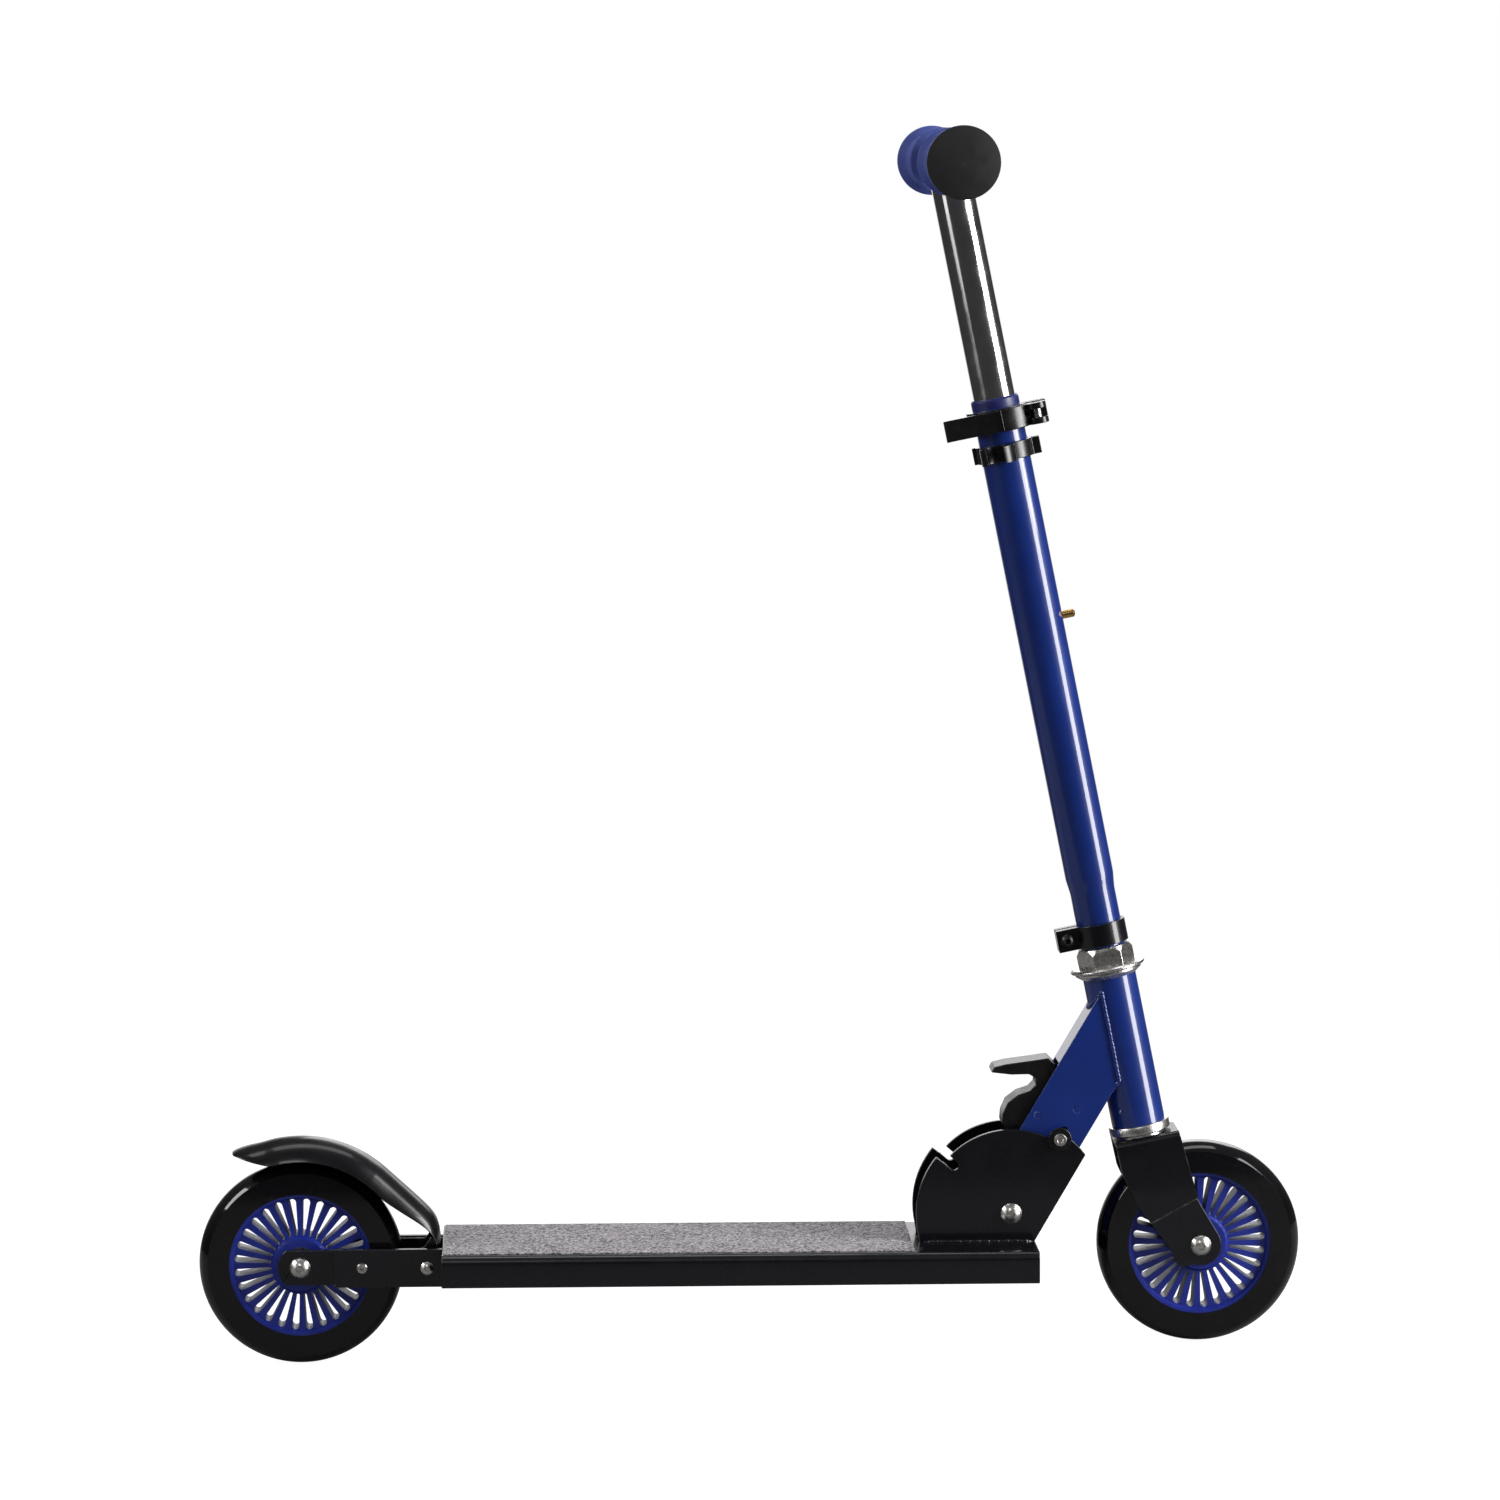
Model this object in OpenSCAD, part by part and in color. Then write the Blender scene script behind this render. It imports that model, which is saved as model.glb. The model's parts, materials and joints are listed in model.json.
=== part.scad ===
// Folding kick scooter with two wheels, a brake fender and a height-adjustable T-bar.
// +X is forward, +Y is the rider's left, +Z is up. The origin is on the ground,
// midway between the wheels. Every size is in millimetres.

/* [Wheels] */
// Outside diameter of both wheels
wheel_d = 120; // [116:1:122]
// Width of each tyre
wheel_w = 24; // [22:0.5:25]
// Distance between the two axles
wheelbase = 530; // [525:1:540]
// Diameter of the coloured core inside the tyre
core_d = 84; // [80:1:88]
// Slots through each core
slot_count = 28; // [18:2:28]
// Diameter of both axles
axle_d = 8; // [7:0.5:8]

/* [Deck] */
// Length of the deck extrusion
deck_len = 349; // [330:1:352]
// Width of the deck
deck_w = 102.3; // [96:0.1:120]
// Height of the deck extrusion
deck_h = 18.7; // [16:0.1:22]
// Distance from the rear axle to the deck's rear end
deck_rear = 83.2; // [83:0.1:86]
// Height of the deck's top over the rear axle
deck_rise = 11.9; // [11:0.1:14]
// How far the deck dips toward the front, in degrees
deck_tilt = 0.96; // [0:0.01:1.5]
// Length of the grip tape
tape_len = 275; // [200:1:275]

/* [Folding joint] */
// Position of the fold pivot along the scooter
pivot_x = 153.2; // [150:0.1:156]
// Height of the fold pivot over the ground
pivot_z = 81.8; // [81:0.1:84]
// Distance from the fold pivot to the lock pin
lock_radius = 52.6; // [52:0.1:53]
// Direction from the fold pivot to the lock pin, in degrees
lock_angle = 56.2; // [55:0.1:58]
// Direction from the fold pivot to the rear notch, in degrees
notch_angle = 138.6; // [136:0.1:140]
// Slope of the neck, in degrees over the horizontal
neck_angle = 58.5; // [57:0.1:60]
// Width of the neck across its two cheeks
neck_w = 28; // [26:0.5:28]

/* [Steering] */
// Lean of the steering axis, in degrees from the vertical
head_angle = 10.5; // [9:0.1:12]
// Outside diameter of the head tube
head_d = 31.5; // [30:0.5:33]
// Outside diameter of the column
column_d = 28.6; // [27:0.1:30]
// Height of the column's top along the steering axis
column_top = 462.8; // [440:0.1:470]

/* [T-bar] */
// Outside diameter of the sliding stem
stem_d = 24.5; // [23:0.1:24.5]
// Height of the handlebar along the steering axis
bar_height = 608.5; // [590:0.5:620]
// Width of the handlebar over its end caps
bar_w = 270; // [250:1:360]
// Distance between the stem's height holes
hole_pitch = 50; // [40:1:50]
// Outside diameter of the grip flanges
grip_d = 39.4; // [36:0.1:42]

/* [Hidden] */
$fn = 96;
$fa = 6;
skin = 0.3;                       // gap between pieces that move past each other
fit = 0.05;                       // radial running clearance of a shaft in its bore
axle_z = wheel_d / 2;
axle_r = axle_d / 2;
rear_x = -wheelbase / 2;
axis_x = 236.6;                   // the steering axis passes this point
axis_z = 100;
front_u = 20.63;                  // front axle in the steering frame
front_s = -44.51;
plate_in = 15;                    // inner face of the fold bracket plates
plate_t = 3.5;
pin_r = 2.4;                      // lock pin shaft
pin_travel = 4.2;                 // of the lock pin when the lever is pressed
chord_angle = 49.2;               // direction of that travel
arc_r = lock_radius - pin_r - 0.4;
lever_x = 16.8;                   // lever pin, from the fold pivot
lever_z = 57.2;
wall_in = neck_w / 2 - 2.5;       // inner face of each neck cheek
neck_back = 20.5;                 // rear face of the neck, from its pivot
neck_front = 15.7;                // front face of the neck, from its pivot
open_to = 90;                     // the neck is open at the rear up to here
fender_px = 74.4;                 // fender pivot in the deck frame
fender_r = 75;                    // ridge of the fender, from the rear axle
arch_r = 19.9;                    // outside of the fender's arched section
fender_t = 2.5;
fender_edge = 62.5;               // lower edge of the fender, from the rear axle
bend_angle = 47.5;                // the fender runs straight in front of this
button_s = 336;                   // snap button along the steering axis
clamp_s = 455.8;                  // middle of the top clamp
clip_s = 437;                     // middle of the handle clip
cam_u = 22;                       // clamp lever pivot
cam_y = -12;
jaw_y = 25.4;                     // middle of each jaw of the handle clip
cap_r = 20.8;                     // end cap of each handle
cap_t = 3.4;
clip_turn = -13.6;

black = [0.05, 0.05, 0.06];
chrome = [0.8, 0.8, 0.82];
blue = [0.07, 0.12, 0.45];

function deck_z(x) = axle_z + deck_rise / cos(deck_tilt) - (x - rear_x) * tan(deck_tilt);
function dome(d, h) = (d * d / 4 + h * h) / (2 * h);

// Outline of a slot with round ends, between x = from and x = to
function slot_outline(from, to, r) = [for (a = [90 : 15 : 270]) [from + r * cos(a), r * sin(a)],
  for (a = [-90 : 15 : 90]) [to + r * cos(a), r * sin(a)]];

// ---- frames ----
module deck_frame() translate([rear_x, 0, axle_z]) rotate([0, deck_tilt, 0]) children();
module pivot_frame() translate([pivot_x, 0, pivot_z]) children();
module neck_frame() pivot_frame() rotate([0, -neck_angle, 0]) children();
module lock_frame() pivot_frame() rotate([0, -lock_angle, 0]) children();
module steer_frame() translate([axis_x, 0, axis_z]) rotate([0, -head_angle, 0]) children();
module both_sides() for (s = [0, 1]) mirror([0, s, 0]) children();

// An X-Z outline as a plate from y0 to y0 + t
module side(y0, t) translate([0, y0 + t, 0]) rotate([90, 0, 0]) linear_extrude(t) children();

// A rod along Y between y0 and y1
module rod(x, z, r, y0, y1) translate([x, y1, z]) rotate([90, 0, 0]) cylinder(r = r, h = y1 - y0);

// A tube along Y between y0 and y1
module sleeve(x, z, ro, ri, y0, y1) {
  difference() {
    rod(x, z, ro, y0, y1);
    rod(x, z, ri, y0 - 1, y1 + 1);
  }
}

// A revolved outline of [radius, height] points about the steering axis
module turned(points) steer_frame() rotate_extrude() polygon(points);

// ---- fasteners ----
// Button-head bolt: the head is below z = 0, the shank goes up
module bolt(r, len, head_d, head_h, socket) {
  rise = 0.75 * head_h;
  ball = dome(head_d, rise);
  difference() {
    union() {
      cylinder(r = r, h = len);
      intersection() {
        translate([0, 0, -head_h]) cylinder(d = head_d, h = head_h);
        translate([0, 0, ball - head_h]) sphere(r = ball);
      }
    }
    translate([0, 0, -head_h - 1]) cylinder(d = socket, h = 1 + 0.65 * head_h, $fn = 6);
  }
}

module bolt_y(x, z, y0, r, len, head_d, head_h, socket) {
  translate([x, y0, z]) rotate([-90, 0, 0]) bolt(r, len, head_d, head_h, socket);
}

// Hex nut with a plastic lock collar, on a shank of radius r
module nut_y(x, z, y0, r, flats, h) {
  translate([x, y0, z]) rotate([-90, 0, 0]) difference() {
    union() {
      cylinder(d = flats / cos(30), h = 0.72 * h, $fn = 6);
      cylinder(d = 0.86 * flats, h = h);
    }
    translate([0, 0, -1]) cylinder(r = r, h = h + 2);
  }
}

// ---- wheels, about a Y axis through the origin ----
module tyre() {
  crown = 16;
  rotate([90, 0, 0]) rotate_extrude() intersection() {
    translate([core_d / 2, -wheel_w / 2]) square([(wheel_d - core_d) / 2, wheel_w]);
    translate([wheel_d / 2 - crown, 0]) circle(r = crown);
  }
}

module core() {
  hub = 17;
  rim = core_d / 2 - 2.6;
  inner_end = 18.4;
  inner_r = 0.85;
  outer_r = 2.15;
  outer_end = rim - outer_r - 0.3;
  rotate([90, 0, 0]) difference() {
    rotate_extrude() polygon([[9, -5], [9, 5], [11, 5], [11, 12], [15.5, 12], [hub, 9.4],
      [rim, 8.2], [rim + 0.9, 10.6], [core_d / 2, 10.9], [core_d / 2, -10.9],
      [rim + 0.9, -10.6], [rim, -8.2], [hub, -9.4], [15.5, -12], [11, -12], [11, -5]]);
    for (i = [0 : slot_count - 1]) rotate([0, 0, (i + 0.5) * 360 / slot_count])
      translate([0, 0, -12]) {
        translate([inner_end, 0, 0]) cylinder(r = inner_r, h = 24, $fn = 24);
        translate([outer_end, 0, 0]) cylinder(r = outer_r, h = 24, $fn = 32);
        linear_extrude(24) polygon([[inner_end, -inner_r], [outer_end, -outer_r],
          [outer_end, outer_r], [inner_end, inner_r]]);
      }
  }
}

module bearings() {
  both_sides() rotate([90, 0, 0]) rotate_extrude() polygon([[axle_r + fit, 5],
    [axle_r + fit, 12], [5.8, 12], [6, 11.5], [9.3, 11.5], [9.5, 12], [11, 12], [11, 5]]);
}

// Spacers on an axle: one between the bearings and one on each side out to face
module spacers(face) {
  sleeve(0, 0, 5.4, axle_r + fit, -4.7, 4.7);
  both_sides() sleeve(0, 0, 6.2, axle_r + fit, wheel_w / 2 + skin, face);
}

// A coil of round wire along +Z, closed at both ends
module coil(r, wire, pitch, turns) {
  steps = 20;
  sides = 8;
  n = round(turns * steps);
  points = [for (i = [0 : n]) for (j = [0 : sides - 1])
    let (a = 360 * i / steps, b = 360 * j / sides, q = r + wire * cos(b))
    [q * cos(a), q * sin(a), pitch * i / steps + wire * sin(b)]];
  quads = [for (i = [0 : n - 1]) for (j = [0 : sides - 1])
    let (k = (j + 1) % sides)
    [i * sides + j, i * sides + k, (i + 1) * sides + k, (i + 1) * sides + j]];
  first = [[for (j = [sides - 1 : -1 : 0]) j]];
  last = [[for (j = [0 : sides - 1]) n * sides + j]];
  polyhedron(points, concat(quads, first, last));
}

// ---- deck frame ----
module deck() color(black) {
  web_in = 24;
  web_t = 2.5;
  side_t = 3;
  floor_t = 2.6;
  top_t = 3.2;
  edge_r = 5;
  low = deck_rise - deck_h;
  hollow_h = deck_h - floor_t - top_t;
  deck_frame() translate([deck_rear, 0, 0]) rotate([90, 0, 90]) linear_extrude(deck_len)
    difference() {
      union() {
        translate([-deck_w / 2, low]) square([deck_w, deck_h - edge_r]);
        translate([edge_r - deck_w / 2, low]) square([deck_w - 2 * edge_r, deck_h]);
        for (s = [-1, 1]) translate([s * (deck_w / 2 - edge_r), deck_rise - edge_r])
          circle(r = edge_r);
      }
      translate([-web_in, low + floor_t]) square([2 * web_in, hollow_h]);
      for (s = [0, 1]) mirror([s, 0]) translate([web_in + web_t, low + floor_t])
        square([deck_w / 2 - side_t - web_in - web_t, hollow_h]);
    }
}

module grip_tape() color([0.35, 0.33, 0.33]) {
  margin = 5.2;
  deck_frame() translate([deck_rear + 1, margin - deck_w / 2, deck_rise])
    cube([tape_len, deck_w - 2 * margin, 0.8]);
}

module bracket_plate(s) {
  far = 62;
  flank_front = lock_angle - 3.6;
  flank_rear = notch_angle + 3.2;
  back_r = 54;                    // round back edge, about a point 2 mm behind the pivot
  front_x = 13.5;
  mirror([0, s, 0]) pivot_frame() difference() {
    side(plate_in, plate_t) polygon([[-54.2, deck_z(pivot_x - 54.2) - pivot_z],
      for (a = [192 : -4 : 140]) [back_r * cos(a) - 2, back_r * sin(a)],
      [-40, 46], [-20, far], [20, far], [35.2, 44], [41.7, 37.3], [44.4, 33.8],
      [front_x, deck_z(pivot_x + front_x) - pivot_z]]);
    difference() {
      side(plate_in - 1, plate_t + 2) polygon([[0, 0],
        [90 * cos(flank_front), 90 * sin(flank_front)], [40, 100], [-60, 100],
        [90 * cos(flank_rear), 90 * sin(flank_rear)]]);
      rod(0, 0, arc_r, plate_in - 2, plate_in + plate_t + 2);
    }
    rotate([0, -notch_angle, 0]) side(plate_in - 1, plate_t + 2)
      polygon(slot_outline(44.2, 70, pin_r + skin));
    rod(0, 0, 3.6, plate_in - 1, plate_in + plate_t + 1);
  }
}
module bracket_plate_left() color(black) bracket_plate(0);
module bracket_plate_right() color(black) bracket_plate(1);

module pivot_bolt() color(chrome) {
  face = plate_in + plate_t;
  bolt_y(pivot_x, pivot_z, -face, 3.5, 2 * face + 6.5, 12.3, 4.2, 4.6);
}

module pivot_washers() color([0.85, 0.85, 0.8]) {
  both_sides() sleeve(pivot_x, pivot_z, 9.5, 3.7, neck_w / 2 + 0.1, plate_in);
}

// Lock nuts on the far ends of the fold bolt and the rear axle
module frame_nuts() color(chrome) {
  nut_y(pivot_x, pivot_z, plate_in + plate_t, 3.5, 11, 6);
  nut_y(rear_x, axle_z, 20, axle_r, 13, 7);
}

module tail_plates() color(black) {
  h = 22.4;
  from = 20.5;
  tongue = 52;
  both_sides() deck_frame() difference() {
    union() {
      side(20, 4) translate([from, -h / 2]) square([deck_rear - from, h]);
      side(20, 4) translate([deck_rear, deck_rise - deck_h + 2.6])
        square([tongue, deck_h - 5.8]);
    }
    rod(36.3, 0, 2.4, 19, 25);
    rod(fender_px, 0, 3.1, 19, 25);
  }
}

module axle_plates() color(black) {
  h = 20.7;
  both_sides() deck_frame() difference() {
    union() {
      side(16, 4) translate([0, -h / 2]) square([deck_rear, h]);
      side(16, 4) intersection() {
        circle(r = 13.2);
        translate([-14, -h / 2]) square([14, h]);
      }
      side(16, 4) translate([deck_rear, deck_rise - deck_h + 2.6])
        square([24, deck_h - 5.8]);
    }
    rod(0, 0, axle_r + fit, 15, 21);
    rod(36.3, 0, 2.4, 15, 21);
    rod(fender_px, 0, 3.1, 15, 21);
  }
}

module tail_rivets() color(chrome) {
  both_sides() deck_frame() difference() {
    union() {
      rod(36.3, 0, 2.4, 16, 24);
      translate([36.3, 24, 0]) rotate([-90, 0, 0]) cylinder(r1 = 3.3, r2 = 2.6, h = 1.2);
    }
    rod(36.3, 0, 1.2, 22, 26);
  }
}

module fender_bolt() color(chrome) {
  deck_frame() {
    bolt_y(fender_px, 0, -24, 3, 50, 7.8, 2.4, 3.6);
    nut_y(fender_px, 0, 24, 3, 8, 4.6);
  }
}

module fender_spring() color([0.5, 0.5, 0.52]) {
  wire = 0.75;
  turns = 4;
  deck_frame() translate([fender_px, 0, 0]) {
    both_sides() translate([0, 11, 0]) rotate([90, 0, 0]) coil(6.4, wire, 1.7, turns);
  }
}

module rear_axle() color(chrome) {
  translate([rear_x, -20, axle_z]) rotate([-90, 0, 0]) {
    bolt(axle_r, 47, 12.2, 4.8, 5.2);
  }
}

module rear_spacers() color(chrome) translate([rear_x, 0, axle_z]) spacers(16);

// ---- rear wheel ----
module rear_tyre() color([0.03, 0.03, 0.03]) translate([rear_x, 0, axle_z]) tyre();
module rear_core() color(blue) translate([rear_x, 0, axle_z]) core();
module rear_bearings() color(chrome) translate([rear_x, 0, axle_z]) bearings();

// ---- brake fender ----
module arch_outline() {
  intersection() {
    translate([fender_r - arch_r, 0]) difference() {
      circle(r = arch_r);
      circle(r = arch_r - fender_t);
    }
    translate([fender_edge, -arch_r]) square([arch_r, 2 * arch_r]);
  }
}

module fender() color(black) {
  tip_angle = 125;
  straight = 33;
  ear_in = 12.4;
  ear_t = 2.5;
  tongue_w = 16;
  deck_frame() difference() {
    union() {
      difference() {
        rotate([90, 0, 0]) rotate([0, 0, bend_angle]) {
          rotate_extrude(angle = tip_angle - bend_angle) arch_outline();
          rotate([90, 0, 0]) linear_extrude(straight) arch_outline();
        }
        side(-30, 60) polygon([[-70, 72.5], [-37.6, 69.6], [-31.6, 64.4], [-20.4, 60.6],
          [-20.4, 40], [-70, 40]]);
      }
      both_sides() side(ear_in, ear_t) polygon([[66.5, 22.6], [62, 28.2], [66, 31.6],
        [70.4, 28.6], [77.6, 26.6], [80, 23], [81, 18.6], [81, 0], [67.9, 0]]);
      both_sides() rod(fender_px, 0, 6.5, ear_in, ear_in + ear_t);
      // tongue that carries the ridge down to the cross plate between the ears
      side(-tongue_w / 2, tongue_w) polygon([[74.6, 33.3], [78.8, 27], [81, 18.6],
        [78.6, 17], [76.6, 25.4], [72.6, 31.6]]);
      side(-ear_in - ear_t, 2 * (ear_in + ear_t)) polygon([[77.6, 26.6], [80, 23],
        [81, 18.6], [81, 9], [78.6, 9], [78.6, 18.2], [77.8, 21.8], [76, 24.6]]);
    }
    rod(fender_px, 0, 5, -20, 20);
  }
}

module fender_sleeve() color(chrome) {
  deck_frame() sleeve(fender_px, 0, 5, 3.06, -15.6, 15.6);
}

// ---- neck ----
module neck_tube() color(blue) {
  slot_r = pin_r + 0.45;
  difference() {
    neck_frame() side(-neck_w / 2, neck_w) polygon([[170, -neck_front], [170, neck_back],
      [9, neck_back], for (a = [90 : 10 : 270]) [neck_front * cos(a), neck_front * sin(a)]]);
    // hollow, open to the rear beside the lever
    neck_frame() {
      translate([-30, -wall_in, 2.5 - neck_front])
        cube([230, 2 * wall_in, neck_front + neck_back - 5]);
      translate([-30, -wall_in, 0]) cube([30 + open_to, 2 * wall_in, 40]);
    }
    // seat on the head tube, and everything in front of it
    steer_frame() cylinder(d = head_d, h = 400, center = true);
    steer_frame() translate([0, -50, -150]) cube([200, 100, 400]);
    // slots for the lock pin, along the chord of its swing with the lever
    pivot_frame() translate([pin_at_x(), 0, pin_at_z()]) rotate([0, -chord_angle, 0])
      side(-20, 40) polygon(slot_outline(-0.2, pin_travel + 0.2, slot_r));
    lock_frame() rod(72, 0, 2, -20, 20);
    pivot_frame() {
      rod(lever_x, lever_z, 2, -20, 20);
      rod(0, 0, 6.5, -20, 20);
    }
  }
}

module head_tube() color(blue) turned([[13.5, 31.9], [head_d / 2, 31.9], [head_d / 2, 121.6],
  [13.5, 121.6]]);

module pivot_bush() color(chrome) {
  sleeve(pivot_x, pivot_z, 6.5, 3.5 + fit, -neck_w / 2, neck_w / 2);
}

module lower_cup() color(chrome) turned([[12.3, 31], [12.3, 38], [13.5, 38], [13.5, 31.9],
  [17.6, 31.9], [18, 31.2], [18, 27.2], [17.2, 26.4], [15.1, 26.4], [15.1, 31]]);

module upper_cup() color(chrome) turned([[12.3, 115.5], [13.5, 115.5], [13.5, 121.6],
  [16.2, 121.6], [19.6, 124.2], [19.6, 125.6], [15.1, 125.6], [15.1, 122.6], [12.3, 122.6]]);

// Lever pin and spring pin, pressed through both cheeks
module neck_pins() color(blue) {
  pivot_frame() rod(lever_x, lever_z, 2, -neck_w / 2, neck_w / 2);
  lock_frame() rod(72, 0, 2, -neck_w / 2, neck_w / 2);
}

module lock_spring() color([0.6, 0.6, 0.62]) {
  wire = 0.5;
  low = lock_radius + pin_r + wire + 0.2;
  high = 72 - 2 - wire - 0.2;
  turns = 6;
  lock_frame() translate([low, 0, 0]) rotate([0, 90, 0])
    coil(3.4, wire, (high - low) / turns, turns);
}

module release_lever() color(black) {
  half = wall_in - 0.5;
  difference() {
    pivot_frame() side(-half, 2 * half) polygon([[-10, 82.8], [-8.2, 86], [-1.2, 87.6], [12.8, 89.2],
        [24, 90.6], [28.2, 86.4], [29.4, 76.2], [27.3, 66.2], [27.8, 58.2], [35.2, 43.4],
        [27, 37.2], [20.5, 40.6], [14, 45.5], [6.8, 45.2], [-1.2, 46.7], [-4.2, 52.2],
        [-3.6, 58.2], [-0.7, 64.5], [5.8, 69.2], [12.8, 71.4], [16.1, 74.7], [16.3, 78.7],
        [12.3, 81.2], [1.8, 81.2]]);
    pivot_frame() {
      rod(lever_x, lever_z, 2 + 0.06, -20, 20);
      rod(pin_at_x(), pin_at_z(), pin_r, -20, 20);
    }
    // room for the lock spring
    lock_frame() translate([lock_radius - 8, 0, 0]) rotate([0, 90, 0]) cylinder(r = 5, h = 60);
  }
}
function pin_at_x() = lock_radius * cos(lock_angle);
function pin_at_z() = lock_radius * sin(lock_angle);

// ---- lock pin ----
module lock_pin() color(chrome) {
  washer_in = plate_in + plate_t + 0.4;
  lock_frame() difference() {
    union() {
      rod(lock_radius, 0, pin_r, -washer_in, washer_in);
      both_sides() rod(lock_radius, 0, 3.65, washer_in + 1.5, washer_in + 4);
      both_sides() rod(lock_radius, 0, 3, washer_in, washer_in + 1.5);
    }
    both_sides() rod(lock_radius, 0, 1.8, washer_in + 2.2, washer_in + 5);
  }
}

module lock_washers() color(black) {
  washer_in = plate_in + plate_t + 0.4;
  both_sides() lock_frame() sleeve(lock_radius, 0, 6.85, 3, washer_in, washer_in + 1.5);
}

// ---- fork and column ----
module fork() color(black) {
  top_s = 25;
  out = 18;
  thick = 3.5;
  bend = 4;
  steer_frame() difference() {
    union() {
      intersection() {
        translate([-30, 0, 0]) rotate([90, 0, 90]) linear_extrude(70) difference() {
          union() {
            translate([-out, -60]) square([2 * out, 60 + top_s - bend]);
            translate([bend - out, -60]) square([2 * (out - bend), 60 + top_s]);
            for (s = [-1, 1]) translate([s * (out - bend), top_s - bend]) circle(r = bend);
          }
          translate([thick - out, -61]) square([2 * (out - thick), 61 + top_s - thick]);
        }
        side(-30, 60) polygon([[-17, 30], [-16.5, 6.6], [-12.3, -12.1], [-4.6, -28.2],
          [24.8, -19.2], [20.9, 30]]);
      }
      both_sides() side(out - thick + 1, thick) {
        polygon([[-5.8, -25.9], [24.1, -16.6], [24.8, -19.2], [32.4, -41], [31.6, -50],
          [20.6, -52], [8.6, -52], [3.5, -44.7], [-2.1, -33.5]]);
        translate([front_u, front_s]) circle(r = 12.2);
        translate([10.6, -48]) circle(r = 7.4);
      }
    }
    translate([0, 0, -5]) cylinder(r = 11.1, h = 60);
    rod(front_u, front_s, axle_r + fit, -30, 30);
  }
}

module steerer() color([0.4, 0.4, 0.42]) turned([[9.4, 21.5], [11.1, 21.5], [11.1, 185],
  [9.4, 185]]);

module crown_race() color(chrome) turned([[11.1, 25], [14.6, 25], [14.6, 26.2], [12.6, 27.8],
  [11.1, 27.8]]);

// Two rings of bearing balls
module headset_balls() color(chrome) {
  ball_r = 1.4;
  ring_r = 13.1;
  count = 24;
  steer_frame() for (z = [29.25, 124.4]) for (i = [0 : count - 1])
    rotate([0, 0, i * 360 / count]) translate([ring_r, 0, z]) sphere(r = ball_r, $fn = 20);
}

module top_race() color(chrome) turned([[11.1, 125.95], [21.4, 125.95], [22, 126.5],
  [22, 127.6], [20.6, 128.5], [11.1, 128.5]]);

module locknut() color(chrome) {
  low = 128.5;
  high = 139.6;
  steer_frame() difference() {
    intersection() {
      translate([0, 0, low]) cylinder(d = 33.6, h = high - low, $fn = 6);
      translate([0, 0, low - 1]) cylinder(r1 = 22, r2 = 14.6, h = high - low + 1);
    }
    translate([0, 0, low - 1]) cylinder(r = 11.1, h = 20);
  }
}

module column_tube() color(blue) {
  r = column_d / 2;
  difference() {
    turned([[11.15, 139.8], [13.25, 139.8], [13.25, 173], [r, 182], [r, column_top],
      [13, column_top], [13, 190], [11.15, 180]]);
    steer_frame() {
      translate([0, -1, column_top - 42]) cube([20, 2, 50]);
      translate([-20, -1, 135]) cube([20, 2, 30]);
      translate([8, 0, button_s]) rotate([0, 90, 0]) cylinder(r = 2.7, h = 10);
    }
  }
}

module lower_clamp() color(black) {
  low = 141;
  h = 13;
  steer_frame() difference() {
    union() {
      translate([0, 0, low]) cylinder(r = 15.4, h = h);
      translate([-26.5, -7, low]) cube([14.5, 14, h]);
    }
    translate([0, 0, low - 1]) cylinder(r = 13.3, h = h + 2);
    translate([-30, -1.2, low - 1]) cube([30, 2.4, h + 2]);
    rod(-20.5, low + h / 2, 2.6, -10, 10);
  }
}

module lower_clamp_screw() color([0.15, 0.15, 0.16]) {
  steer_frame() {
    bolt_y(-20.5, 147.5, -7, 2.5, 18.5, 8.6, 4, 4);
    nut_y(-20.5, 147.5, 7, 2.5, 8, 4.2);
  }
}

module column_bush() color([0.08, 0.09, 0.25]) {
  bore = stem_d / 2 + 0.07;
  turned([[bore, column_top - 24], [12.95, column_top - 24], [12.95, column_top],
    [14.1, column_top], [14.1, column_top + 4.8], [13.2, column_top + 6.1],
    [bore, column_top + 6.1]]);
}

module top_clamp() color(black) {
  h = 13.5;
  steer_frame() translate([0, 0, clamp_s - h / 2]) difference() {
    union() {
      cylinder(r = 18, h = h);
      translate([12, -5.7, 0]) cube([16.5, 11.4, h]);
    }
    translate([0, 0, -1]) cylinder(r = column_d / 2 + fit, h = h + 2);
    translate([0, -1.5, -1]) cube([40, 3, h + 2]);
    rod(cam_u, h / 2, 2.1, -10, 10);
  }
}

// Clamp bolt with its nut at the left and its barrel pin at the right
module top_clamp_bolt() color(chrome) {
  steer_frame() {
    rod(cam_u, clamp_s, 2, cam_y, 10.4);
    translate([cam_u, cam_y, clamp_s - 6]) cylinder(r = 2.6, h = 12);
    nut_y(cam_u, clamp_s, 5.7, 2, 8, 4.7);
  }
}

module clamp_lever() color(black) {
  h = 12.4;
  arm_in = 18.6;
  arm_out = 21.4;
  steer_frame() translate([0, 0, clamp_s - h / 2]) difference() {
    union() {
      translate([cam_u, cam_y, 0]) cylinder(r = 6, h = h);
      intersection() {
        difference() {
          cylinder(r = arm_out, h = h);
          translate([0, 0, -1]) cylinder(r = arm_in, h = h + 2);
        }
        linear_extrude(h) polygon([[0, 0], [60, -28], [60, -60], [-1, -60], [-1, 0]]);
      }
      linear_extrude(h) polygon([[0.5, -arm_out], [0.5, -arm_in], [-27, -arm_in + 1.2],
        [-33, -arm_in - 0.6], [-33.4, -arm_out - 0.4], [-28, -arm_out + 0.8]]);
    }
    translate([cam_u, cam_y, -1]) cylinder(r = 2.66, h = h + 2);
    translate([cam_u, cam_y, h / 2 - 2.5]) cylinder(r = 8.2, h = 5);
  }
}

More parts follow.
